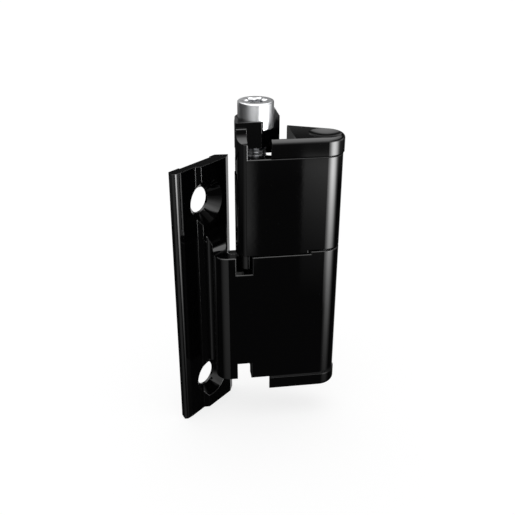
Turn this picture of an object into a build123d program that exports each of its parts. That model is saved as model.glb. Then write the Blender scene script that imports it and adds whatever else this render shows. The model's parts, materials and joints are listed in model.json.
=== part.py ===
from build123d import *
import math
import os

# Enclosure door hinge: a frame leaf with a mounting plate, an arm and the lower housing,
# and a door leaf with the upper housing and a screw-driven clamp block.
# Frame: origin at the middle of the two plate holes on the mounting face, X along the plate,
# Y out of the mounting face towards the enclosure frame, Z up along the hinge axis.
# Housing sizes are given in the hinge's own plan: u along the front face, v away from the
# front, both measured from the hinge axis. The housings stand at LEAF_TURN to the plate.

# Mounting plate
PLATE_WIDTH = 23.0
PLATE_HEIGHT = 82.0
PLATE_THICK = 4.3
PLATE_THIN = 3.1
PLATE_STEP_X = -2.5
PLATE_STEP_RUN = 1.2
LEFT_EDGE_BACK = 1.0
LEFT_EDGE_DEPTH = 2.1
LEFT_FACET_RUN = 0.75
LEFT_BEVEL_RUN = 2.75
LEFT_BEVEL_DROP = 0.2
LEFT_EDGE_ROUND = 1.0
RIGHT_EDGE_RUN = 2.7
RIGHT_EDGE_DEPTH = 2.9
RELIEF_WIDTH = 13.0
RELIEF_DEPTH = 0.5
HOLE_SPACING = 60.0
HOLE_DIAMETER = 7.6
SINK_DIAMETER = 13.6
SINK_ANGLE = 90.0
SINK_MOUTH = 4.0

# Hinge axis, from the middle of the plate holes
AXIS_X = 20.4
AXIS_REACH = 30.2
LEAF_TURN = 45.0

# Housings
HOUSING_RISE = 15.5
LOWER_HEIGHT = 41.4
UPPER_HEIGHT = 28.7
SEAM_GAP = 0.3
BARREL_RADIUS = 5.25
WEDGE_ANGLE = 24.0
BODY_LEFT = 22.5
BODY_BACK_ROUND = 5.0
PAD_RADIUS = 6.4
PAD_RISE = 0.8
PAD_CLEARANCE = 0.3
EDGE_ROUND = 0.4
FRONT_ROUND = 0.3

# Arm
ARM_LEFT = 31.75
ARM_CORNER = 4.0
ARM_WALL = 3.75
ARM_INNER_LEFT = 27.3
ARM_INNER_ROUND = 1.5
ARM_TOP_ROUND = 0.8
ARM_FOOT_ROUND = 7.5
ARM_FOOT_SHARE = 0.6
ROOT_ROUND = 5.5
ROOT_SINK = 0.02

# Slot at the top of the lower housing, notch at its bottom, channel behind both
SLOT_LEFT = 25.5
SLOT_WIDTH = 4.6
SLOT_DEPTH = 5.4
NOTCH_WIDTH = 4.2
NOTCH_HEIGHT = 5.4
CHANNEL_DEPTH = 8.2
WEB_THICK = 2.5
WEB_DROP = 2.3

# Door leaf front wall, post and tab
LEAF_LEFT = 25.2
LEAF_CORNER = 4.1
LEAF_END_DEPTH = 4.5
FRONT_WALL = 3.4
POST_WIDTH = 3.2
POST_HEIGHT = 7.9
POST_GAP = 0.3
POST_LIP = 1.3
POST_BAR_DEPTH = 0.8
POST_BAR_ROUND = 0.3
TAB_WIDTH = 2.7
TAB_INSET = 0.8
TAB_DEPTH = 2.6
TAB_SETBACK = 0.5
TAB_LENGTH = 4.0
TAB_CORNER = 2.2
CLAMP_FLOOR_DROP = 4.4
CLAMP_BAY_RIGHT = 10.8

# Clamp block
BLOCK_LEFT = 25.0
BLOCK_RIGHT = 12.0
BLOCK_FRONT = 1.7
BLOCK_BACK = 14.2
BLOCK_HEIGHT = 7.2
BLOCK_CHAMFER = 5.8
BLOCK_BOSS_RADIUS = 5.8
BLOCK_SIDE = 2.0
JAW_DEPTH = 4.6
JAW_DROP = 5.0
JAW_GAP = 1.5
JAW_WIDTH = 6.7

# Clamp screw
SCREW_U = 18.7
SCREW_V = 3.8
SCREW_DIAMETER = 6.0
SCREW_LENGTH = 29.0
HEAD_DIAMETER = 10.0
HEAD_HEIGHT = 7.4
HEAD_SINK = 2.8
HEAD_CLEARANCE = 0.2
SHANK_CLEARANCE = 0.3
THREAD_CLEARANCE = 0.05
THREAD_RUN_OUT = 4.0
SOCKET_DIAMETER = 5.6
SOCKET_DEPTH = 3.2
SOCKET_LOBE = 1.05
SOCKET_LOBES = 6

# Pin, bushes, washer and ring
PIN_DIAMETER = 5.0
PIN_HEAD_DIAMETER = 7.4
PIN_HEAD_HEIGHT = 1.4
PIN_STAND = 2.2
PIN_CLEARANCE = 0.05
BUSH_WALL = 1.0
BUSH_LENGTH = 10.0
WASHER_DIAMETER = 8.6
WASHER_THICK = 1.2
WASHER_CLEARANCE = 0.1
RING_DIAMETER = 7.8
RING_THICK = 0.7
RING_GROOVE = 0.4
RING_SEAT = 0.1

# Caps
CAP_OVERHANG = 0.3
CAP_ROOM = 0.3
CAP_WALL = 1.35
CAP_TOP = 1.6
UPPER_CAP_HEIGHT = 5.2
LOWER_CAP_HEIGHT = 4.7
CAP_SKIRT_LEFT = 15.6
CAP_LEFT = 8.9
CAP_EDGE_ROUND = 1.2
CAP_GROOVE_HEIGHT = 0.35
CAP_GROOVE_DEPTH = 0.6
DISH_DIAMETER = 9.2
DISH_DEPTH = 0.8
PEG_DIAMETER = 2.4
PEG_LENGTH = 3.0
PEG_U = 6.6
PEG_V = 2.4
PEG_CLEARANCE = 0.05

# How far a cut runs past the face it opens, and how near two points are the same
PAST = 1.0
SAME_PLACE = 0.001

# Heights that follow from the sizes above
PLATE_BOTTOM = -PLATE_HEIGHT / 2
LOWER_BOTTOM = PLATE_BOTTOM + HOUSING_RISE
SEAM = LOWER_BOTTOM + LOWER_HEIGHT
UPPER_BOTTOM = SEAM + SEAM_GAP
UPPER_TOP = UPPER_BOTTOM + UPPER_HEIGHT
PAD_TOP = SEAM + PAD_RISE
RECESS_TOP = PAD_TOP + SEAM_GAP
FLOOR_TOP = UPPER_TOP - CLAMP_FLOOR_DROP
JAW_BOTTOM = FLOOR_TOP + JAW_GAP
BLOCK_BOTTOM = JAW_BOTTOM + JAW_DROP
BLOCK_TOP = BLOCK_BOTTOM + BLOCK_HEIGHT
HEAD_BOTTOM = BLOCK_TOP - HEAD_SINK
BUSH_RADIUS = PIN_DIAMETER / 2 + PIN_CLEARANCE + BUSH_WALL
WALL_BACK = BARREL_RADIUS - ARM_WALL

HINGE = Location((AXIS_X, -AXIS_REACH, 0), (0, 0, -LEAF_TURN))
TURN = math.radians(LEAF_TURN)


def to_hinge(x, y):
    """A point of the plate's plan as u and v from the hinge axis."""
    dx = x - AXIS_X
    dy = y + AXIS_REACH
    return dx * math.cos(TURN) - dy * math.sin(TURN), dx * math.sin(TURN) + dy * math.cos(TURN)


def plate_v(u, depth):
    """The v at which a line of constant u meets the plate at a depth under its mounting face."""
    along = (u + (AXIS_REACH - depth) * math.sin(TURN)) / math.cos(TURN)
    return along * math.sin(TURN) + (AXIS_REACH - depth) * math.cos(TURN)


def prism(face, bottom, top):
    """A flat plan raised from one height to another."""
    return extrude(Pos(0, 0, bottom) * face, amount=top - bottom, dir=(0, 0, 1))


def block(u0, u1, v0, v1, bottom, top):
    """A plain block between two corners of the plan and two heights."""
    middle = Pos((u0 + u1) / 2, (v0 + v1) / 2, (bottom + top) / 2)
    return middle * Box(abs(u1 - u0), abs(v1 - v0), top - bottom)


def rod(radius, bottom, top, u=0.0, v=0.0):
    """An upright cylinder between two heights."""
    return Pos(u, v, (bottom + top) / 2) * Cylinder(radius, top - bottom)


def wedge(radius, left):
    """Plan of a housing: front face, round end about the axis and slanted back."""
    slant = math.radians(WEDGE_ANGLE)
    back_left = (radius + left * math.sin(slant)) / math.cos(slant)
    back_round = (radius * math.sin(slant), radius * math.cos(slant))
    front = Line((-left, -radius), (0, -radius))
    middle_angle = (slant + math.pi) / 2
    middle = (radius * math.sin(middle_angle), radius * math.cos(middle_angle))
    end = ThreePointArc((0, -radius), middle, back_round)
    back = Line(back_round, (-left, back_left))
    side = Line((-left, back_left), (-left, -radius))
    return make_face(Wire([front, end, back, side]))


def front_edges(body, highest):
    """The edges in a housing's front face that start below a height, but not its tall uprights."""
    chosen = []
    for edge in body.edges():
        box = edge.bounding_box()
        off_face = max(abs(box.min.Y + BARREL_RADIUS), abs(box.max.Y + BARREL_RADIUS))
        if off_face < SAME_PLACE and box.size.Z < UPPER_HEIGHT / 2 and box.min.Z < highest:
            chosen.append(edge)
    return chosen


def plate_plan():
    """Plan of the mounting plate with its step, bevelled ends and relief."""
    half = PLATE_WIDTH / 2
    relief = RELIEF_WIDTH / 2
    left_corner = (-half + LEFT_FACET_RUN, -PLATE_THIN + LEFT_BEVEL_DROP)
    points = [
        (-half + LEFT_EDGE_BACK, 0),
        (-relief, 0),
        (-relief, -RELIEF_DEPTH),
        (relief, -RELIEF_DEPTH),
        (relief, 0),
        (half - RIGHT_EDGE_RUN, 0),
        (half, -RIGHT_EDGE_DEPTH),
        (half - RIGHT_EDGE_RUN, -PLATE_THICK),
        (PLATE_STEP_X + PLATE_STEP_RUN / 2, -PLATE_THICK),
        (PLATE_STEP_X - PLATE_STEP_RUN / 2, -PLATE_THIN),
        (-half + LEFT_BEVEL_RUN, -PLATE_THIN),
        left_corner,
        (-half, -LEFT_EDGE_DEPTH),
    ]
    face = make_face(Polyline(*points, close=True))
    rounded = face.vertices().sort_by_distance(left_corner)[0]
    return fillet(rounded, LEFT_EDGE_ROUND)


def plate_hole(z):
    """One countersunk hole, cut from the plate's front."""
    run = (SINK_DIAMETER - HOLE_DIAMETER) / 2 / math.tan(math.radians(SINK_ANGLE / 2))
    through = Pos(0, -PLATE_THICK, z) * Rot(90, 0, 0) * Cylinder(HOLE_DIAMETER / 2, 2 * (PLATE_THICK + PAST))
    cone = Pos(0, -PLATE_THICK + run / 2, z) * Rot(90, 0, 0)
    cone = cone * Cone(HOLE_DIAMETER / 2, SINK_DIAMETER / 2, run)
    mouth = Pos(0, -PLATE_THICK - SINK_MOUTH / 2, z) * Rot(90, 0, 0)
    mouth = mouth * Cylinder(SINK_DIAMETER / 2, SINK_MOUTH)
    return through + cone + mouth


def arm_plan():
    """Plan of the arm: root blended into the plate, rounded corner, wall along the front face."""
    half = PLATE_WIDTH / 2
    inside = PLATE_THICK / 2
    right = -BODY_LEFT + SLOT_WIDTH
    end = to_hinge(half - RIGHT_EDGE_RUN / 2, -RIGHT_EDGE_DEPTH)
    foot_v = plate_v(-ARM_LEFT, PLATE_THICK)
    corner_start = (-ARM_LEFT, ARM_CORNER - BARREL_RADIUS)
    side_wall = foot_v - corner_start[1]
    run = min(ARM_FOOT_ROUND * math.tan(TURN / 2), side_wall * ARM_FOOT_SHARE)
    on_plate = (-ARM_LEFT - run * math.cos(TURN), foot_v - run * math.sin(TURN))
    on_side = (-ARM_LEFT, foot_v - run)
    buried = (on_plate[0] - inside * math.sin(TURN), on_plate[1] + inside * math.cos(TURN))
    corner_end = (ARM_CORNER - ARM_LEFT, -BARREL_RADIUS)
    outer = [
        TangentArc(on_plate, on_side, tangent=(math.cos(TURN), math.sin(TURN))),
        Line(on_side, corner_start),
        TangentArc(corner_start, corner_end, tangent=(0, -1)),
    ]
    inner = Polyline(
        corner_end,
        (right, -BARREL_RADIUS),
        (right, -WALL_BACK),
        (-ARM_INNER_LEFT, -WALL_BACK),
        end,
        buried,
        on_plate,
    )
    face = make_face(Wire([*outer, *inner.edges()]))
    corner = face.vertices().sort_by_distance((-ARM_INNER_LEFT, -WALL_BACK))[0]
    return fillet(corner, ARM_INNER_ROUND)


def arm_root():
    """The hollow round between the arm's top and the plate's front, as wide as the arm.

    The round is sunk a little, so that it crosses both faces and doesn't only touch them.
    """
    front = -PLATE_THICK - ROOT_ROUND
    half = PLATE_WIDTH / 2
    top = SEAM + ROOT_ROUND
    corner = block(-half, half, front, -PLATE_THICK / 2, SEAM - PAST, top)
    hollow = Rot(0, 90, 0) * Cylinder(ROOT_ROUND, PLATE_WIDTH + PAST)
    corner -= Pos(0, front + ROOT_SINK, top - ROOT_SINK) * hollow
    return (HINGE * prism(arm_plan(), SEAM - PAST, top)) & corner


def lower_housing():
    """Lower housing with its pad, pin bore, slot, notch and channel."""
    plan = wedge(BARREL_RADIUS, BODY_LEFT)
    body = prism(plan, LOWER_BOTTOM, SEAM)
    back = body.edges().filter_by(Axis.Z).sort_by(Axis.Y)[-1]
    body = fillet(back, BODY_BACK_ROUND)
    pad = rod(PAD_RADIUS, SEAM, PAD_TOP) & prism(plan, SEAM, PAD_TOP)
    body = body + pad
    return body


def frame_leaf():
    """Mounting plate, arm and lower housing, one die casting."""
    plate = extrude(Pos(0, 0, PLATE_BOTTOM) * plate_plan(), amount=PLATE_HEIGHT, dir=(0, 0, 1))
    arm = prism(arm_plan(), LOWER_BOTTOM, SEAM)
    body = lower_housing() + arm
    channel_back = -BARREL_RADIUS + CHANNEL_DEPTH
    channel_right = -SLOT_LEFT + SLOT_WIDTH
    body -= block(-BODY_LEFT - PAST, channel_right, -WALL_BACK, channel_back, LOWER_BOTTOM - PAST, SEAM + PAST)
    body -= block(-SLOT_LEFT, channel_right, -BARREL_RADIUS - PAST, 0, SEAM - SLOT_DEPTH, SEAM + PAST)
    notch_right = -SLOT_LEFT + NOTCH_WIDTH
    body -= block(-SLOT_LEFT, notch_right, -BARREL_RADIUS - PAST, 0, LOWER_BOTTOM - PAST, LOWER_BOTTOM + NOTCH_HEIGHT)
    body = fillet(front_edges(body, UPPER_TOP), FRONT_ROUND)
    body -= rod(PIN_DIAMETER / 2, LOWER_BOTTOM - PAST, PAD_TOP + PAST)
    seat = WASHER_DIAMETER / 2 + WASHER_CLEARANCE
    body -= rod(seat, RECESS_TOP - WASHER_THICK, PAD_TOP + PAST)
    body -= rod(PEG_DIAMETER / 2 + PEG_CLEARANCE, LOWER_BOTTOM - PAST, LOWER_BOTTOM + PEG_LENGTH + SEAM_GAP, -PEG_U, PEG_V)
    web_bottom = LOWER_BOTTOM + NOTCH_HEIGHT
    body += block(-ARM_INNER_LEFT, -BODY_LEFT, channel_back, channel_back + WEB_THICK, web_bottom, SEAM - WEB_DROP)
    body = HINGE * body + plate + arm_root()
    inner_top = (HINGE * Pos(-ARM_INNER_LEFT, ARM_INNER_ROUND, SEAM)).position
    body = fillet(body.edges().sort_by_distance(inner_top)[0], ARM_TOP_ROUND)
    for z in (-HOLE_SPACING / 2, HOLE_SPACING / 2):
        body -= plate_hole(z)
    return body


def leaf_post():
    """Left post of the door leaf: a rounded bar along its top with a scoop in front of it."""
    top = UPPER_TOP + POST_HEIGHT
    right = -LEAF_LEFT + POST_WIDTH
    back = -BLOCK_FRONT - POST_GAP
    bar_front = back - POST_BAR_DEPTH
    scoop_radius = bar_front + BARREL_RADIUS
    post = block(-LEAF_LEFT, right, -BARREL_RADIUS, back, UPPER_TOP, top)
    post -= block(-LEAF_LEFT - PAST, right + PAST, -BARREL_RADIUS - PAST, bar_front, top - POST_LIP, top + PAST)
    scoop = Rot(0, 90, 0) * Cylinder(scoop_radius, 2 * (POST_WIDTH + PAST))
    post -= Pos(-LEAF_LEFT, -BARREL_RADIUS, top - POST_LIP) * scoop
    bar_edges = post.edges().filter_by(Axis.X).group_by(Axis.Z)[-1]
    return fillet(bar_edges, POST_BAR_ROUND)


def leaf_body():
    """Upper housing before its bores: front wall, body, clamp bay and post."""
    plan = wedge(BARREL_RADIUS, BODY_LEFT)
    body = prism(plan, UPPER_BOTTOM, UPPER_TOP)
    back = body.edges().filter_by(Axis.Z).sort_by(Axis.Y)[-1]
    body = fillet(back, BODY_BACK_ROUND)
    bay_back = BODY_LEFT + BARREL_RADIUS
    wall_back = -BARREL_RADIUS + FRONT_WALL
    post_top = UPPER_TOP + POST_HEIGHT
    wall_right = -LEAF_LEFT + 2 * LEAF_CORNER
    wall_end = -BARREL_RADIUS + LEAF_END_DEPTH
    wall = block(-LEAF_LEFT, wall_right, -BARREL_RADIUS, wall_end, UPPER_BOTTOM, post_top)
    corner = wall.edges().filter_by(Axis.Z).sort_by_distance((-LEAF_LEFT, -BARREL_RADIUS, SEAM))[0]
    wall = fillet(corner, LEAF_CORNER)
    body = body + (wall & block(-LEAF_LEFT - PAST, 0, -BARREL_RADIUS, BARREL_RADIUS, UPPER_BOTTOM, UPPER_TOP))
    body -= block(-LEAF_LEFT - PAST, -CLAMP_BAY_RIGHT, wall_back, bay_back, FLOOR_TOP, UPPER_TOP + PAST)
    return body + (leaf_post() & (wall + block(-BODY_LEFT, 0, -BARREL_RADIUS, 0, UPPER_BOTTOM, post_top)))


def leaf_tab():
    """Tab under the left end of the front wall, set back from the front face."""
    left = -LEAF_LEFT + TAB_INSET
    front = -BARREL_RADIUS + TAB_SETBACK
    tab = block(left, left + TAB_WIDTH, front, front + TAB_DEPTH, UPPER_BOTTOM - TAB_LENGTH, UPPER_BOTTOM)
    return fillet(tab.edges().filter_by(Axis.Z).sort_by_distance((left, front, SEAM))[0], TAB_CORNER)


def door_leaf():
    """Upper housing with bores for the bushes and the clamp screw."""
    body = leaf_body() - rod(PAD_RADIUS + PAD_CLEARANCE, UPPER_BOTTOM - PAST, RECESS_TOP)
    body = fillet(front_edges(body, UPPER_TOP + SAME_PLACE), FRONT_ROUND)
    body = body + leaf_tab()
    body -= rod(BUSH_RADIUS, UPPER_BOTTOM - PAST, UPPER_TOP + PAST)
    thread = SCREW_DIAMETER / 2 + THREAD_CLEARANCE
    thread_bottom = HEAD_BOTTOM - SCREW_LENGTH - THREAD_RUN_OUT
    body -= rod(thread, thread_bottom, FLOOR_TOP + PAST, -SCREW_U, SCREW_V)
    body -= rod(PEG_DIAMETER / 2 + PEG_CLEARANCE, UPPER_TOP - PEG_LENGTH - SEAM_GAP, UPPER_TOP + PAST, -PEG_U, PEG_V)
    return HINGE * body


def block_plan():
    """Plan of the clamp block: rounded about the screw, with a slanted front corner."""
    slant = BLOCK_CHAMFER
    points = [
        (-SCREW_U, -BLOCK_FRONT),
        (-BLOCK_RIGHT - slant, -BLOCK_FRONT),
        (-BLOCK_RIGHT, -BLOCK_FRONT + slant),
        (-BLOCK_RIGHT, BLOCK_BACK),
        (-SCREW_U, BLOCK_BACK),
    ]
    main = make_face(Polyline(*points, close=True))
    side = [
        (-SCREW_U, -BLOCK_FRONT),
        (-BLOCK_LEFT, -BLOCK_FRONT),
        (-BLOCK_LEFT, -BLOCK_FRONT + BLOCK_SIDE),
        (-SCREW_U - BLOCK_BOSS_RADIUS, SCREW_V),
        (-SCREW_U, SCREW_V),
    ]
    left = make_face(Polyline(*side, close=True))
    boss = Pos(-SCREW_U, SCREW_V) * Circle(BLOCK_BOSS_RADIUS)
    behind = BLOCK_BACK + BLOCK_FRONT
    beside = Pos(-SCREW_U - BLOCK_BOSS_RADIUS / 2, behind / 2 - BLOCK_FRONT) * Rectangle(BLOCK_BOSS_RADIUS, behind)
    return main + left + (boss & beside)


def clamp_block():
    """Clamp block with its jaw at the back and the bore and seat of the screw."""
    body = prism(block_plan(), BLOCK_BOTTOM, BLOCK_TOP)
    jaw = block(-BLOCK_RIGHT - JAW_WIDTH, -BLOCK_RIGHT, BLOCK_BACK - JAW_DEPTH, BLOCK_BACK, JAW_BOTTOM, BLOCK_BOTTOM)
    body = body + jaw
    body -= rod(SCREW_DIAMETER / 2 + SHANK_CLEARANCE, BLOCK_BOTTOM - PAST, BLOCK_TOP + PAST, -SCREW_U, SCREW_V)
    body -= rod(HEAD_DIAMETER / 2 + HEAD_CLEARANCE, HEAD_BOTTOM, BLOCK_TOP + PAST, -SCREW_U, SCREW_V)
    return HINGE * body


def clamp_screw():
    """Cylinder head screw with a six-lobe socket."""
    head_top = HEAD_BOTTOM + HEAD_HEIGHT
    head = rod(HEAD_DIAMETER / 2, HEAD_BOTTOM, head_top)
    head = fillet(head.edges().group_by(Axis.Z)[-1], EDGE_ROUND)
    screw = head + rod(SCREW_DIAMETER / 2, HEAD_BOTTOM - SCREW_LENGTH, HEAD_BOTTOM)
    socket = rod(SOCKET_DIAMETER / 2 - SOCKET_LOBE / 2, head_top - SOCKET_DEPTH, head_top + PAST)
    for i in range(SOCKET_LOBES):
        angle = 2 * math.pi * i / SOCKET_LOBES
        reach = SOCKET_DIAMETER / 2 - SOCKET_LOBE / 2
        lobe_u = reach * math.cos(angle)
        lobe_v = reach * math.sin(angle)
        socket = socket + rod(SOCKET_LOBE / 2, head_top - SOCKET_DEPTH, head_top + PAST, lobe_u, lobe_v)
    screw = screw - socket
    return HINGE * Pos(-SCREW_U, SCREW_V, 0) * screw


def hinge_pin():
    """Hinge pin, pressed into the lower housing, with a head below and a ring groove above."""
    top = UPPER_TOP + PIN_STAND
    pin = rod(PIN_DIAMETER / 2, LOWER_BOTTOM, top)
    pin += rod(PIN_HEAD_DIAMETER / 2, LOWER_BOTTOM - PIN_HEAD_HEIGHT, LOWER_BOTTOM)
    ring_bottom = UPPER_TOP + RING_SEAT
    groove = rod(PIN_DIAMETER, ring_bottom, ring_bottom + RING_THICK)
    groove -= rod(PIN_DIAMETER / 2 - RING_GROOVE, ring_bottom, ring_bottom + RING_THICK)
    pin = pin - groove
    return HINGE * chamfer(pin.edges().group_by(Axis.Z)[-1], EDGE_ROUND)


def bush(bottom):
    """One plain bush of the door leaf."""
    sleeve = rod(BUSH_RADIUS, bottom, bottom + BUSH_LENGTH)
    return HINGE * (sleeve - rod(BUSH_RADIUS - BUSH_WALL, bottom - PAST, bottom + BUSH_LENGTH + PAST))


def thrust_washer():
    """Washer that carries the door leaf on the lower housing."""
    disc = rod(WASHER_DIAMETER / 2, RECESS_TOP - WASHER_THICK, RECESS_TOP)
    hole = rod(PIN_DIAMETER / 2 + WASHER_CLEARANCE, RECESS_TOP - WASHER_THICK - PAST, RECESS_TOP + PAST)
    return HINGE * (disc - hole)


def retaining_ring():
    """Open ring in the groove at the pin's top end."""
    bottom = UPPER_TOP + RING_SEAT
    ring = rod(RING_DIAMETER / 2, bottom, bottom + RING_THICK)
    ring -= rod(PIN_DIAMETER / 2 - RING_GROOVE, bottom - PAST, bottom + RING_THICK + PAST)
    ring -= block(0, RING_DIAMETER, -PIN_DIAMETER / 4, PIN_DIAMETER / 4, bottom - PAST, bottom + RING_THICK + PAST)
    return HINGE * ring


def cap_shell(height):
    """A cap with its open side at height 0 and its closed side above."""
    outer = BARREL_RADIUS + CAP_OVERHANG
    body = prism(wedge(outer, CAP_LEFT), 0, height)
    inner = RING_DIAMETER / 2 + CAP_ROOM
    hollow = prism(wedge(inner, CAP_LEFT - CAP_WALL), -PAST, height - CAP_TOP)
    body = body - hollow
    body += block(-CAP_SKIRT_LEFT, -CAP_LEFT + CAP_WALL, -outer, -inner, 0, height)
    rim = prism(wedge(outer + PAST, CAP_SKIRT_LEFT + PAST), 0, CAP_GROOVE_HEIGHT)
    body -= rim - prism(wedge(outer - CAP_GROOVE_DEPTH, CAP_SKIRT_LEFT + PAST), 0, CAP_GROOVE_HEIGHT)
    top = body.edges().group_by(Axis.Z)[-1]
    front = top.filter_by(Axis.X).sort_by(Axis.Y)[0:1]
    round_end = top.filter_by(GeomType.CIRCLE)
    body = fillet(front + round_end, CAP_EDGE_ROUND)
    peg = rod(PEG_DIAMETER / 2, -PEG_LENGTH, height - CAP_TOP / 2, -PEG_U, PEG_V)
    return body + peg


def upper_cap():
    """Upper cap with the dished top over the pin."""
    body = cap_shell(UPPER_CAP_HEIGHT)
    half = DISH_DIAMETER / 2
    dish_radius = (half ** 2 + DISH_DEPTH ** 2) / (2 * DISH_DEPTH)
    body -= Pos(0, 0, UPPER_CAP_HEIGHT - DISH_DEPTH + dish_radius) * Sphere(dish_radius)
    return HINGE * Pos(0, 0, UPPER_TOP) * body


def lower_cap():
    """Lower cap, the upper one's shape turned over and lower."""
    body = mirror(cap_shell(LOWER_CAP_HEIGHT), about=Plane.XY)
    return HINGE * Pos(0, 0, LOWER_BOTTOM) * body


def solid_of(shape):
    """The single solid of a shape, for one node."""
    (only,) = shape.solids()
    return only


PARTS = {
    "frame_leaf": frame_leaf,
    "door_leaf": door_leaf,
    "hinge_pin": hinge_pin,
    "bush_lower": lambda: bush(RECESS_TOP),
    "bush_upper": lambda: bush(UPPER_TOP - BUSH_LENGTH),
    "thrust_washer": thrust_washer,
    "retaining_ring": retaining_ring,
    "cap_upper": upper_cap,
    "cap_lower": lower_cap,
    "clamp_block": clamp_block,
    "clamp_screw": clamp_screw,
}

os.makedirs("parts", exist_ok=True)
for name, make in PARTS.items():
    export_step(solid_of(make()), f"parts/{name}.step")
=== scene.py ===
# %% [markdown]
# # An enclosure door hinge in black die-cast zinc
#
# The hinge has two castings. The frame leaf is screwed to an enclosure through a slanted plate, and
# the door leaf turns above it on a steel pin. A clamp block, drawn down by one bright screw, grips
# the flange of the door. The solids come ready made from the CAD model. This lesson dresses them in
# black powder coat, moulded plastic and steel, models the clamp screw with its thread and its
# six-lobe socket, and builds a small studio to see it all in.

import json
import math

import bpy
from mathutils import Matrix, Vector


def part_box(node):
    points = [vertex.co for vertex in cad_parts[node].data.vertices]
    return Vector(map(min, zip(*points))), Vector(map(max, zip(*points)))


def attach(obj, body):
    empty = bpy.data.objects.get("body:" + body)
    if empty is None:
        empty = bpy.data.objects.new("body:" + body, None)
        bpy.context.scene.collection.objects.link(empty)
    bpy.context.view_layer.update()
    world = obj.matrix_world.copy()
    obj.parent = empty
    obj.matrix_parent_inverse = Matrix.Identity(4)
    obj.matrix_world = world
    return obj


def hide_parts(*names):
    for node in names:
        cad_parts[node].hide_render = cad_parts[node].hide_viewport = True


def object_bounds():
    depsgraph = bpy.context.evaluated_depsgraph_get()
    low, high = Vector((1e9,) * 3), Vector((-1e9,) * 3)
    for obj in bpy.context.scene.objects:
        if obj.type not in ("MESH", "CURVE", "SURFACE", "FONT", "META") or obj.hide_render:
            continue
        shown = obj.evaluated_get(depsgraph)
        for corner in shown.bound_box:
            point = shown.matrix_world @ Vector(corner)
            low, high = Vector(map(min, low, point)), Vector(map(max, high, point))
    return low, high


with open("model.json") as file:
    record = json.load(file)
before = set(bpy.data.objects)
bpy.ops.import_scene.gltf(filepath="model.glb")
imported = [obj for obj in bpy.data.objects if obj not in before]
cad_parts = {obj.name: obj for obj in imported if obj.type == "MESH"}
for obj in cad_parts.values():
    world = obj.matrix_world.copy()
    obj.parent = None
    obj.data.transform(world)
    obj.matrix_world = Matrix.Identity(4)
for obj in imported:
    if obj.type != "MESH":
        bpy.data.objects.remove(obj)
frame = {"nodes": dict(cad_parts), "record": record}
cad_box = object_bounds()
scene = bpy.context.scene
scene.view_settings.view_transform = "Standard"
MM = 0.001
print("nodes:", sorted(frame["nodes"]))

# %% [markdown]
# ## Camera
#
# A camera can be matched to a photograph by eye, or by fitting its place to points whose size is
# known. Here the plate's edges, the holes and the screw head were fitted, which gave a 50 mm lens
# a little above the hinge. It looks down by about 26 degrees.

# %% Camera
CAMERA_PLACE = (-0.14296, -0.13051, 0.10537)
CAMERA_PITCH = 26.053
CAMERA_HEADING = 52.898
LENS = 50.0
SENSOR = 36.0
NEAREST = 0.005

camera_data = bpy.data.cameras.new("camera")
camera_data.lens = LENS
camera_data.sensor_width = SENSOR
camera_data.clip_start = NEAREST
camera = bpy.data.objects.new("camera", camera_data)
scene.collection.objects.link(camera)
camera.location = CAMERA_PLACE
camera.rotation_euler = (math.radians(90 - CAMERA_PITCH), 0, -math.radians(CAMERA_HEADING))
scene.camera = camera
print("camera distance:", round(Vector(CAMERA_PLACE).length, 4))


# %% [markdown]
# ## Colours and nodes
#
# A colour picked on a screen is stored in sRGB, and the shaders work in linear light, so one small
# function turns a hex colour into linear values. A second one adds any node with its settings, its
# values and its links, and a third starts a material from the shader's own sockets.

# %% Helpers for materials
def srgb(code):
    """A hex colour as linear red, green, blue and alpha."""
    values = [int(code[i:i + 2], 16) / 255 for i in (1, 3, 5)]
    linear = [v / 12.92 if v <= 0.04045 else ((v + 0.055) / 1.055) ** 2.4 for v in values]
    return (*linear, 1.0)


def add_node(tree, kind, inputs=None, **settings):
    """Adds a node with its settings; each input gets a value or another node's output."""
    node = tree.nodes.new(kind)
    for name, value in settings.items():
        setattr(node, name, value)
    for name, value in (inputs or {}).items():
        if isinstance(value, bpy.types.NodeSocket):
            tree.links.new(value, node.inputs[name])
        else:
            node.inputs[name].default_value = value
    return node


def new_material(name, inputs):
    """A material with a Principled shader whose inputs are set, its tree and its shader node."""
    material = bpy.data.materials.new(name)
    material.use_nodes = True
    shader = material.node_tree.nodes["Principled BSDF"]
    for key, value in inputs.items():
        shader.inputs[key].default_value = value
    return material, material.node_tree, shader


# %% [markdown]
# ## Edges that catch light
#
# No cast or moulded edge is truly sharp: the tool has a small radius, and paint flows round it. The
# solids keep their edges sharp where the radius is under half a millimetre. A bevel modifier could
# round them, but it would change the mesh that the CAD model owns. A bevel node rounds only the
# shading, and gives the thin light line that the eye expects at every lid, seam and slot. A finish
# also has a relief, and a gloss that is never quite even, and both start from the same lumps.

# %% Relief and gloss
EDGE_SAMPLES = 6
FINISHES = {}


def lumps(tree, size, detail=2.0):
    """Lumps of about one size all over the piece, as a value from 0 to 1."""
    place = add_node(tree, "ShaderNodeTexCoord")
    cloud = add_node(tree, "ShaderNodeTexNoise", {
        "Vector": place.outputs["Object"], "Scale": 1 / size, "Detail": detail, "Roughness": 0.5})
    return cloud.outputs["Fac"]


def add_relief(tree, shader, height, depth, edge):
    """Rounds the shading at sharp edges and lays a relief of some depth over it."""
    rounded = add_node(tree, "ShaderNodeBevel", {"Radius": edge}, samples=EDGE_SAMPLES)
    bump = add_node(tree, "ShaderNodeBump", {
        "Strength": 1.0, "Distance": depth, "Height": height, "Normal": rounded.outputs["Normal"]})
    tree.links.new(bump.outputs["Normal"], shader.inputs["Normal"])


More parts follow.
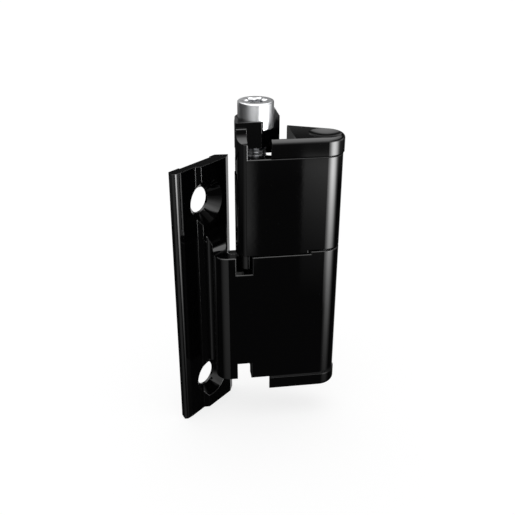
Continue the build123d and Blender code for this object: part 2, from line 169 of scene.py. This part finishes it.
def add_gloss(tree, shader, patch, low, high):
    """A roughness that wanders between two values over patches of about one size."""
    span = add_node(tree, "ShaderNodeMapRange", {
        "Value": lumps(tree, patch), "To Min": low, "To Max": high})
    tree.links.new(span.outputs["Result"], shader.inputs["Roughness"])


print("shaded edges take", EDGE_SAMPLES, "samples")


# %% [markdown]
# ## Black powder coat on zinc
#
# Powder is sprayed on dry and melts to one closed skin. It levels less than wet paint, so a faint
# orange peel stays in the gloss, and a finer pitting where the powder gassed out. Lumps of about a
# millimetre and much smaller ones are added for that. A picture of paint could do it too, but it
# would stretch on the casting's many sides.

# %% Powder coat
PEEL_SIZE = 1.1 * MM
PIT_SIZE = 0.14 * MM
PIT_SHARE = 0.1
PEEL_DEPTH = 0.001 * MM
CAST_EDGE = 0.18 * MM
COAT_PATCH = 6 * MM


def powder_coat():
    """Black powder coat with orange peel and fine pits."""
    material, tree, shader = new_material(
        "black_powder_coat", {"Base Color": srgb("#070708"), "IOR": 1.5})
    pits = add_node(tree, "ShaderNodeMath", {
        0: lumps(tree, PIT_SIZE), 1: PIT_SHARE}, operation="MULTIPLY")
    skin = add_node(tree, "ShaderNodeMath", {
        0: lumps(tree, PEEL_SIZE, detail=1.0), 1: pits.outputs[0]}, operation="ADD")
    add_relief(tree, shader, skin.outputs[0], PEEL_DEPTH, CAST_EDGE)
    add_gloss(tree, shader, COAT_PATCH, low=0.025, high=0.045)
    return material


FINISHES["black_paint"] = powder_coat()
print("made", FINISHES["black_paint"].name)


# %% [markdown]
# ## Moulded plastic
#
# The caps are black nylon. Their mould was spark eroded and then polished on the outside, so the
# gloss is close to the paint's, with a finer and more even grain. The bushes are a dull grey
# bearing plastic with a deeper grain. They lie inside the barrel and hardly ever show.

# %% Plastics
MOULD_GRAIN = 0.1 * MM
CAP_DEPTH = 0.0003 * MM
BUSH_DEPTH = 0.0012 * MM
MOULD_EDGE = 0.15 * MM
CAP_PATCH = 4 * MM


def cap_plastic():
    """Black moulded plastic with a fine spark-eroded grain."""
    material, tree, shader = new_material(
        "moulded_black_plastic", {"Base Color": srgb("#080809"), "IOR": 1.49})
    add_relief(tree, shader, lumps(tree, MOULD_GRAIN), CAP_DEPTH, MOULD_EDGE)
    add_gloss(tree, shader, CAP_PATCH, low=0.03, high=0.06)
    return material


def bush_plastic():
    """Dark bearing plastic with a dull moulded grain."""
    material, tree, shader = new_material(
        "bearing_plastic", {"Base Color": srgb("#3c3c3e"), "Roughness": 0.5, "IOR": 1.5})
    add_relief(tree, shader, lumps(tree, MOULD_GRAIN), BUSH_DEPTH, MOULD_EDGE)
    return material


FINISHES["cap_plastic"] = cap_plastic()
FINISHES["bush_plastic"] = bush_plastic()
print("made", FINISHES["cap_plastic"].name, "and", FINISHES["bush_plastic"].name)


# %% [markdown]
# ## Turned steel
#
# The screw, the pin and the washer are turned on a lathe, and the tool leaves fine rings round the
# axis. On a flat end the rings follow the distance from the axis, and on the side they follow the
# height. The sum of the two serves both, so one noise along that sum draws every ring. The screw's
# bright zinc plating and the pin's bare steel differ only in colour, and both are a little uneven
# in their gloss.

# %% Steel finishes
TOOL_MARK = 0.09 * MM
TOOL_DEPTH = 0.0012 * MM
STEEL_EDGE = 0.12 * MM
STEEL_PATCH = 1.5 * MM
STEEL_ROUGHNESS = 0.3
STEEL_SPREAD = 0.05


def axis_of(node):
    """The middle of a node in plan, which for a turned piece is its axis."""
    low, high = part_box(node)
    return ((low[0] + high[0]) / 2, (low[1] + high[1]) / 2)


def turned_steel(name, colour, axis):
    """Steel with fine turning marks round an upright axis."""
    material, tree, shader = new_material(name, {"Base Color": srgb(colour), "Metallic": 1.0})
    place = add_node(tree, "ShaderNodeTexCoord").outputs["Object"]
    from_axis = add_node(tree, "ShaderNodeVectorMath", {
        0: place, 1: (*axis, 0)}, operation="SUBTRACT")
    level = add_node(tree, "ShaderNodeVectorMath", {
        0: from_axis.outputs[0], 1: (1, 1, 0)}, operation="MULTIPLY")
    reach = add_node(tree, "ShaderNodeVectorMath", {0: level.outputs[0]}, operation="LENGTH")
    parts = add_node(tree, "ShaderNodeSeparateXYZ", {0: place})
    path = add_node(tree, "ShaderNodeMath", {
        0: reach.outputs["Value"], 1: parts.outputs["Z"]}, operation="ADD")
    marks = add_node(tree, "ShaderNodeTexNoise", {
        "W": path.outputs[0], "Scale": 1 / TOOL_MARK, "Detail": 2.0, "Roughness": 0.6},
        noise_dimensions="1D")
    add_relief(tree, shader, marks.outputs["Fac"], TOOL_DEPTH, STEEL_EDGE)
    add_gloss(tree, shader, STEEL_PATCH,
              low=STEEL_ROUGHNESS - STEEL_SPREAD, high=STEEL_ROUGHNESS + STEEL_SPREAD)
    return material


SCREW_AXIS = axis_of("clamp_screw")
HINGE_AXIS = axis_of("thrust_washer")
FINISHES["bright_steel"] = turned_steel("bright_zinc_plating", "#d6d7d9", SCREW_AXIS)
FINISHES["pin_steel"] = turned_steel("ground_steel", "#b4b5b8", HINGE_AXIS)
print("made", FINISHES["bright_steel"].name, "and", FINISHES["pin_steel"].name)


# %% [markdown]
# ## Dressing the pieces
#
# The part's record names a finish for each node of the CAD model, so the finishes are handed out by
# that name. A list of pieces and finishes in this lesson would do too, but it would have to be kept
# in step with the record.

# %% Dress the pieces
SLOTS = {part["node"]: part["material_slot"] for part in frame["record"]["subparts"]}
for node, piece in frame["nodes"].items():
    for holder in piece.material_slots:
        holder.material = FINISHES[SLOTS[node]]
    print(node, "wears", SLOTS[node])


# %% [markdown]
# ## The clamp screw
#
# The screw is a cylinder-head screw with an M6 thread and a six-lobe socket. The CAD model keeps
# it plain, at the thread's outer size, so that it turns freely in the simulation. Here it gets its
# thread and its socket. The head starts as a disc that is drawn up and narrowed step by step, as a
# lathe would leave it. The lobes are the last rings, pushed in and out by one wave round the axis.

# %% Screw head
SCREW_SIDES = 96
HEAD_RADIUS = 5.0 * MM
HEAD_HEIGHT = 7.4 * MM
HEAD_ROUND = 0.4 * MM
UNDERCUT = 0.25 * MM
ROUND_STEPS = 4
SOCKET_MEAN = 2.42 * MM
SOCKET_WAVE = 0.38 * MM
SOCKET_DEPTH = 3.2 * MM
SOCKET_CHAMFER = 0.35 * MM
SOCKET_MOUTH = 1.2 * SOCKET_MEAN
DRILL_RADIUS = 1.6 * MM
DRILL_POINT = 0.16 * MM
DRILL_DEPTH = 0.5 * MM
LOBES = 6
LOBE_TURN = math.radians(-45)

screw_low, screw_high = [Vector(corner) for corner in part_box("clamp_screw")]
HEAD_TOP = screw_high.z
HEAD_BOTTOM = HEAD_TOP - HEAD_HEIGHT


def draw_to(height, radius, last_height, last_radius):
    """Extrudes the selected end face to a new height and radius about the screw's axis."""
    bpy.ops.mesh.extrude_region_move(TRANSFORM_OT_translate={"value": (0, 0, height - last_height)})
    scale = radius / last_radius
    bpy.ops.transform.resize(value=(scale, scale, 1), center_override=(*SCREW_AXIS, height))


def head_outline():
    """Heights and radii of the head, from its underside up to the rim and down into the socket."""
    yield HEAD_BOTTOM + UNDERCUT, HEAD_RADIUS
    for step in range(ROUND_STEPS + 1):
        angle = math.pi / 2 * step / ROUND_STEPS
        rise = HEAD_ROUND * (1 - math.sin(angle))
        yield HEAD_TOP - rise, HEAD_RADIUS - HEAD_ROUND * (1 - math.cos(angle))
    yield HEAD_TOP, SOCKET_MOUTH
    yield HEAD_TOP - SOCKET_CHAMFER, SOCKET_MEAN
    yield HEAD_TOP - SOCKET_DEPTH, SOCKET_MEAN
    yield HEAD_TOP - SOCKET_DEPTH, DRILL_RADIUS
    yield HEAD_TOP - SOCKET_DEPTH - DRILL_DEPTH, DRILL_POINT


def wave_lobes(mesh):
    """Pushes the socket's round rings out and in to six lobes."""
    inside = (DRILL_RADIUS + SOCKET_MEAN) / 2
    outside = (SOCKET_MOUTH + HEAD_RADIUS - HEAD_ROUND) / 2
    for point in mesh.vertices:
        across, along = point.co.x - SCREW_AXIS[0], point.co.y - SCREW_AXIS[1]
        if inside < math.hypot(across, along) < outside:
            angle = math.atan2(along, across) - LOBE_TURN
            scale = 1 + SOCKET_WAVE / SOCKET_MEAN * math.cos(LOBES * angle)
            point.co.x = SCREW_AXIS[0] + across * scale
            point.co.y = SCREW_AXIS[1] + along * scale


bpy.ops.object.select_all(action="DESELECT")
bpy.ops.mesh.primitive_circle_add(vertices=SCREW_SIDES, radius=HEAD_RADIUS - UNDERCUT,
                                  fill_type="NGON", location=(*SCREW_AXIS, HEAD_BOTTOM))
screw = bpy.context.object
screw.name = "clamp_screw_turned"
bpy.ops.object.transform_apply(location=True)
bpy.ops.object.mode_set(mode="EDIT")
bpy.ops.mesh.select_all(action="SELECT")
last_height, last_radius = HEAD_BOTTOM, HEAD_RADIUS - UNDERCUT
for height, radius in head_outline():
    draw_to(height, radius, last_height, last_radius)
    last_height, last_radius = height, radius
bpy.ops.object.mode_set(mode="OBJECT")
wave_lobes(screw.data)
print("head:", len(screw.data.polygons), "faces")

# %% [markdown]
# ## The thread
#
# The thread is one tooth, swept round the axis and up by one pitch in each turn. A thread could
# also be a bump in the shading, but its teeth show in the gap under the clamp block. The tooth's
# outline is a square plane opened on one side, with its corners moved to root, crest, crest and
# root. The two ends of the sweep are ragged, so they are cut off. The cut takes points within
# 0.1 mm of its plane as lying on it, unless it is given a smaller threshold, so a few edges stay
# open at both ends. They are hidden in the clamp block and the door leaf.

# %% Thread
PITCH = 1.0 * MM
THREAD_RADIUS = 3.0 * MM
THREAD_DEPTH = 0.61 * MM
CREST = 0.125 * MM
PLAIN_LENGTH = 2.0 * MM
TIP_LENGTH = 0.7 * MM
THREAD_STEPS = 40
TURN_JOIN = 0.001 * MM
THREAD_TOP = HEAD_BOTTOM - PLAIN_LENGTH
THREAD_BOTTOM = screw_low.z + TIP_LENGTH
CORNERS_IN_ORDER = (0, 1, 3, 2)


def tooth_points():
    """One pitch of the thread's outline, from root to crest and back to root."""
    root = THREAD_RADIUS - THREAD_DEPTH
    yield root, 0.0
    yield THREAD_RADIUS, (PITCH - CREST) / 2
    yield THREAD_RADIUS, (PITCH + CREST) / 2
    yield root, PITCH


bpy.ops.object.select_all(action="DESELECT")
bpy.ops.mesh.primitive_plane_add(size=PITCH, location=(0, 0, 0))
thread = bpy.context.object
bpy.ops.object.mode_set(mode="EDIT")
bpy.ops.mesh.select_all(action="SELECT")
bpy.ops.mesh.delete(type="ONLY_FACE")
bpy.ops.object.mode_set(mode="OBJECT")
for corner, (reach, rise) in zip(CORNERS_IN_ORDER, tooth_points()):
    thread.data.vertices[corner].co = (reach, 0, rise)
for line in thread.data.edges:
    line.select = set(line.vertices) == {CORNERS_IN_ORDER[0], CORNERS_IN_ORDER[-1]}
bpy.ops.object.mode_set(mode="EDIT")
bpy.ops.mesh.select_mode(type="EDGE")
bpy.ops.mesh.delete(type="EDGE")
bpy.ops.object.mode_set(mode="OBJECT")
sweep = thread.modifiers.new("sweep", "SCREW")
sweep.axis = "Z"
sweep.screw_offset = PITCH
sweep.iterations = math.ceil((THREAD_TOP - THREAD_BOTTOM) / PITCH) + 2
sweep.steps = THREAD_STEPS
sweep.render_steps = THREAD_STEPS
sweep.use_merge_vertices = True
sweep.merge_threshold = TURN_JOIN
bpy.ops.object.modifier_apply(modifier="sweep")
thread.location = (*SCREW_AXIS, THREAD_BOTTOM - PITCH)
bpy.ops.object.transform_apply(location=True)
bpy.ops.object.mode_set(mode="EDIT")
for height, upper in ((THREAD_TOP, True), (THREAD_BOTTOM, False)):
    bpy.ops.mesh.select_all(action="SELECT")
    bpy.ops.mesh.bisect(plane_co=(*SCREW_AXIS, height), plane_no=(0, 0, 1), use_fill=True,
                        clear_outer=upper, clear_inner=not upper)
bpy.ops.object.mode_set(mode="OBJECT")
print("thread:", len(thread.data.polygons), "faces")

# %% [markdown]
# ## One screw from two pieces
#
# The lower end of the thread is drawn in to a short taper, as on a real screw, so that it finds its
# hole. The upper end is drawn straight up into the head. Then head and thread are joined to one
# mesh, its doubles are merged and its faces turned outwards, and it takes the CAD screw's place.

# %% Join the screw
TIP_SHARE = 0.8
RUN_OUT = PITCH / 2
HEAD_JOIN = HEAD_BOTTOM + UNDERCUT / 2
SAME_HEIGHT = 0.01 * MM
SAME_POINT = 0.0001 * MM
FACES_UP = 0.99
SMOOTH_ANGLE = math.radians(35)


def draw_end(height, new_height, share):
    """Draws the thread's flat end at one height on to another and scales it."""
    bpy.ops.object.mode_set(mode="EDIT")
    bpy.ops.mesh.select_mode(type="FACE")
    bpy.ops.mesh.select_all(action="DESELECT")
    bpy.ops.object.mode_set(mode="OBJECT")
    for face in thread.data.polygons:
        level = abs(face.center.z - height) < SAME_HEIGHT
        face.select = level and abs(face.normal.z) > FACES_UP
    bpy.ops.object.mode_set(mode="EDIT")
    bpy.ops.mesh.extrude_region_move(TRANSFORM_OT_translate={"value": (0, 0, new_height - height)})
    bpy.ops.transform.resize(value=(share, share, 1), center_override=(*SCREW_AXIS, new_height))
    bpy.ops.object.mode_set(mode="OBJECT")


draw_end(THREAD_BOTTOM, screw_low.z, TIP_SHARE)
draw_end(THREAD_TOP, THREAD_TOP + RUN_OUT, 1.0)
draw_end(THREAD_TOP + RUN_OUT, HEAD_JOIN, 1.0)
bpy.ops.object.select_all(action="DESELECT")
thread.select_set(True)
screw.select_set(True)
bpy.context.view_layer.objects.active = screw
bpy.ops.object.join()
bpy.ops.object.mode_set(mode="EDIT")
bpy.ops.mesh.select_all(action="SELECT")
bpy.ops.mesh.remove_doubles(threshold=SAME_POINT)
bpy.ops.mesh.normals_make_consistent(inside=False)
bpy.ops.object.mode_set(mode="OBJECT")
bpy.ops.object.origin_set(type="ORIGIN_CURSOR")
bpy.ops.object.shade_smooth_by_angle(angle=SMOOTH_ANGLE)
screw.data.materials.append(FINISHES["bright_steel"])
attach(screw, "screw")
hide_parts("clamp_screw")
print("screw:", len(screw.data.polygons), "faces")

# %% [markdown]
# ## Floor and world
#
# A small product is often photographed on white paper in a white tent. A pale floor lies under the
# hinge and keeps its shadow, and the world is an even white. Both are raised to full white only for
# rays that come from the camera or that a mirroring or clear surface sends on, so that no extra
# light falls on the hinge. The floor itself is left out of reflections, because the dome of the
# next step gives them their dark ground.

# %% Floor and world
FLOOR_SIDE = 6.0
FLOOR_GLOW = 0.78
WORLD_LIGHT = 0.35
WHITE = (1, 1, 1, 1)


def white_for_view(tree, strength):
    """A glow that only the camera, reflections and clear materials see."""
    path = add_node(tree, "ShaderNodeLightPath")
    seen = path.outputs["Is Camera Ray"]
    for ray in ("Is Glossy Ray", "Is Transmission Ray"):
        either = add_node(tree, "ShaderNodeMath", {
            0: seen, 1: path.outputs[ray]}, operation="MAXIMUM")
        seen = either.outputs[0]
    return add_node(tree, "ShaderNodeMath", {0: seen, 1: strength}, operation="MULTIPLY").outputs[0]


floor_paper, floor_tree, floor_shader = new_material("floor_paper", {
    "Base Color": srgb("#9c9c9c"), "Roughness": 0.9, "Specular IOR Level": 0.0,
    "Emission Color": WHITE})
floor_glow = white_for_view(floor_tree, FLOOR_GLOW)
floor_tree.links.new(floor_glow, floor_shader.inputs["Emission Strength"])
bpy.ops.object.select_all(action="DESELECT")
bpy.ops.mesh.primitive_plane_add(size=FLOOR_SIDE, location=(0, 0, cad_box[0][2]))
floor = bpy.context.object
floor.name = "floor"
floor.data.materials.append(floor_paper)
floor.visible_glossy = False

world = bpy.data.worlds.new("studio")
world.use_nodes = True
scene.world = world
air = world.node_tree.nodes["Background"]
air.inputs["Color"].default_value = WHITE
air_glow = add_node(world.node_tree, "ShaderNodeMath", {
    0: white_for_view(world.node_tree, 1 - WORLD_LIGHT), 1: WORLD_LIGHT}, operation="ADD")
world.node_tree.links.new(air_glow.outputs[0], air.inputs["Strength"])
print("floor at", round(cad_box[0][2], 4))

# %% [markdown]
# ## A dome for the reflections
#
# A black gloss surface shows little of its own colour: what makes its shape readable is what it
# mirrors. A photographer darkens the tent with black cloth and sets a few soft lamps in it.
# Painting bright stripes on the hinge would be easier, but they would not move with the eye. So a
# dark dome round the hinge carries the lamps as soft patches, and only reflections see it. It is
# many metres wide, so that each lamp lies in one direction for the whole hinge.

# %% Dome cloth
DOME_RADIUS = 20.0
DOME_SEGMENTS = 64
DOME_RINGS = 32
LEAF_TURN = 45.0

dome_cloth = bpy.data.materials.new("dome_cloth")
dome_cloth.use_nodes = True
dome_cloth.cycles.emission_sampling = "NONE"
dome_tree = dome_cloth.node_tree
dome_tree.nodes.remove(dome_tree.nodes["Principled BSDF"])
dome_glow = add_node(dome_tree, "ShaderNodeEmission")
dome_tree.links.new(dome_glow.outputs[0], dome_tree.nodes["Material Output"].inputs["Surface"])

bpy.ops.object.select_all(action="DESELECT")
bpy.ops.mesh.primitive_uv_sphere_add(segments=DOME_SEGMENTS, ring_count=DOME_RINGS,
                                     radius=DOME_RADIUS, location=(*HINGE_AXIS, 0))
dome = bpy.context.object
dome.name = "dark_dome"
dome.rotation_euler[2] = -math.radians(LEAF_TURN)
dome.data.materials.append(dome_cloth)
dome.visible_camera = False
dome.visible_diffuse = False
dome.visible_shadow = False
dome.visible_transmission = False
print("dome radius:", DOME_RADIUS)

# %% [markdown]
# ## Directions on the dome
#
# A lamp needs a place on the dome, and a place there is a direction: how far round from the front
# of the leaf, and how far up. Both are worked out from the dome's own coordinates, as angles in
# degrees. A lamp is then a level times two curves, one round and one up. Each curve runs through a
# few stops, an angle with the share of the lamp's level at it.

# %% Directions and curves
dome_place = add_node(dome_tree, "ShaderNodeTexCoord")
dome_parts = add_node(dome_tree, "ShaderNodeSeparateXYZ", {0: dome_place.outputs["Object"]})
ahead = add_node(dome_tree, "ShaderNodeMath", {
    0: dome_parts.outputs["Y"], 1: -1.0}, operation="MULTIPLY")
turned = add_node(dome_tree, "ShaderNodeMath", {
    0: dome_parts.outputs["X"], 1: ahead.outputs[0]}, operation="ARCTAN2")
around = add_node(dome_tree, "ShaderNodeMath", {0: turned.outputs[0]}, operation="DEGREES")
share_up = add_node(dome_tree, "ShaderNodeMath", {
    0: dome_parts.outputs["Z"], 1: 1 / DOME_RADIUS}, operation="MULTIPLY")
raised = add_node(dome_tree, "ShaderNodeMath", {0: share_up.outputs[0]}, operation="ARCSINE")
up = add_node(dome_tree, "ShaderNodeMath", {0: raised.outputs[0]}, operation="DEGREES")


def curve(source, stops):
    """A curve through pairs of an angle and a level, stretched over its own angles."""
    first, last = stops[0][0], stops[-1][0]
    span = add_node(dome_tree, "ShaderNodeMapRange", {
        "Value": source, "From Min": first, "From Max": last})
    ramp = add_node(dome_tree, "ShaderNodeValToRGB", {0: span.outputs["Result"]})
    band = ramp.color_ramp
    for angle, level in stops[1:-1]:
        band.elements.new((angle - first) / (last - first))
    for element, (angle, level) in zip(band.elements, stops):
        element.color = (level, level, level, 1)
    return ramp.outputs[0]


def lamp(name, level, turn, rise):
    """One soft lamp on the dome: a level times a curve round it and a curve up it."""
    patch = add_node(dome_tree, "ShaderNodeMath", {
        0: curve(around.outputs[0], turn), 1: curve(up.outputs[0], rise)}, operation="MULTIPLY")
    light = add_node(dome_tree, "ShaderNodeMath", {
        0: patch.outputs[0], 1: level}, operation="MULTIPLY")
    print("lamp", name, "of level", level)
    return light.outputs[0]


# %% [markdown]
# ## The lamps
#
# The key lamp stands to the right of the camera and low. It draws the bright bands down the round
# barrel and the screw. The fill is dim and wide and lifts the flat sides a little. The walls and
# the ceiling show in the faces that look up or away. What no lamp reaches is black cloth, and that
# is never quite black.

# %% Lamps
DARK_CLOTH = 0.012
LIGHTS = [
    lamp("key", 14.0,
         turn=((15, 0), (20, 0.17), (24, 0.38), (28, 0.6), (33, 0.8), (40, 1), (48, 1), (54, 0.86),
               (62, 0.6), (68, 0.35), (73, 0.18), (78, 0.06), (83, 0.03), (89, 0)),
         rise=((-30, 0), (-28, 0.12), (-26, 0.3), (-24, 0.44), (-22, 0.63), (-19, 1), (-12, 1.1),
               (-4, 0.5), (8, 0.1), (18, 0))),
    lamp("key's foot", 1.4,
         turn=((22, 0), (26, 0.2), (32, 0.55), (38, 0.9), (44, 1), (56, 1), (62, 0.7), (68, 0.45),
               (74, 0.2), (84, 0)),
         rise=((-42, 0.03), (-36, 0.14), (-34, 0.3), (-32, 0.55), (-30, 1), (-28, 0.65), (-26, 0))),
    lamp("key's edge", 0.62,
         turn=((11.6, 0), (11.8, 0.85), (15, 1.25), (18, 1.6), (20, 0)),
         rise=((-29, 0), (-25, 0.15), (-23, 0.33), (-21, 0.6), (-18.6, 1), (-17.9, 0.9),
               (-17.4, 0.1), (0, 0))),
    lamp("fill", 0.52,
         turn=((-64, 0), (-50, 0.4), (-38, 0.75), (-25, 0.95), (-14, 1), (-3, 0.95), (-1.6, 0)),
         rise=((-60, 0.2), (-37, 0.5), (-32, 0.75), (-28, 0.9), (-20, 1), (-12, 1.15), (4, 0.8),
               (24, 0))),
    lamp("fill's edge", 0.42,
         turn=((5.5, 0), (6.5, 1), (7.1, 1), (7.9, 0)),
         rise=((-27, 0), (-24, 1), (-18.5, 1), (-17.4, 0))),
    lamp("side", 1.45,
         turn=((66, 0), (80, 1), (98, 1), (112, 0.3), (136, 0)),
         rise=((-20, 0), (-14, 0.2), (-9, 0.4), (-5, 0.75), (0, 1), (4, 0.95), (10, 0.4), (15, 0.1),
               (18, 0))),
    lamp("rim", 0.6,
         turn=((138, 0), (150, 1), (172, 1), (180, 0.4)),
         rise=((-60, 0.5), (-30, 0.8), (-10, 1), (8, 0))),
    lamp("front wall", 1.0,
         turn=((-80, 0), (-40, 0.7), (0, 1), (16, 1), (22, 0.75), (28, 0.45), (36, 0.15), (50, 0)),
         rise=((-40, 0.015), (-20, 0.02), (-14, 0.08), (-5, 0.22), (0, 0.4), (6, 0.65), (12, 0.95),
               (20, 1.1), (26, 1.5), (34, 1.5), (50, 0.8), (64, 0))),
    lamp("ceiling", 3.6,
         turn=((-180, 0.95), (-60, 1), (60, 1), (180, 0.95)),
         rise=((22, 0), (27, 0.04), (32, 0.24), (40, 0.4), (50, 0.62), (60, 0.85), (70, 1),
               (90, 0.9))),
    lamp("back", 1.0,
         turn=((150, 0), (166, 0.1), (172, 0.15), (178, 0.5), (180, 0.5)),
         rise=((-10, 0), (0, 1), (15.3, 1), (16.6, 0.1), (19, 0.05), (26, 0.03), (30, 0))),
    lamp("back left", 1.0,
         turn=((-180, 0.5), (-172, 0.25), (-150, 0.1), (-130, 0)),
         rise=((-10, 0), (0, 1), (15.3, 1), (16.6, 0.1), (19, 0.05), (26, 0.03), (30, 0))),
    lamp("left wall", 0.06,
         turn=((-180, 1.6), (-150, 1), (-110, 0.7), (-80, 1.5), (-64, 2), (-60, 0)),
         rise=((-24, 0), (-17, 1), (-5, 1), (0, 0))),
    lamp("rear wall", 0.6,
         turn=((-178, 0), (-165, 1), (-145, 1), (-126, 0)),
         rise=((-12, 0), (-6, 0.8), (2, 1), (8, 0.8), (16, 0))),
]
total = DARK_CLOTH
for light in LIGHTS:
    added = add_node(dome_tree, "ShaderNodeMath", {0: light, 1: total}, operation="ADD")
    total = added.outputs[0]
dome_tree.links.new(total, dome_glow.inputs["Strength"])
print("lamps on the dome:", len(LIGHTS))

# %% [markdown]
# ## One soft sun for the shadow
#
# The dome lights nothing, so a broad and very soft sun from straight above gives the floor its
# faint shadow. It isn't seen in reflections, where the dome's ceiling stands for it.

# %% Overhead sun
SUN_SPREAD = math.radians(70)
SUN_LEVEL = 1.1

overhead = bpy.data.lights.new("overhead", "SUN")
overhead.angle = SUN_SPREAD
overhead.energy = SUN_LEVEL
overhead_holder = bpy.data.objects.new("overhead", overhead)
scene.collection.objects.link(overhead_holder)
overhead_holder.visible_glossy = False
print("sun level:", SUN_LEVEL)
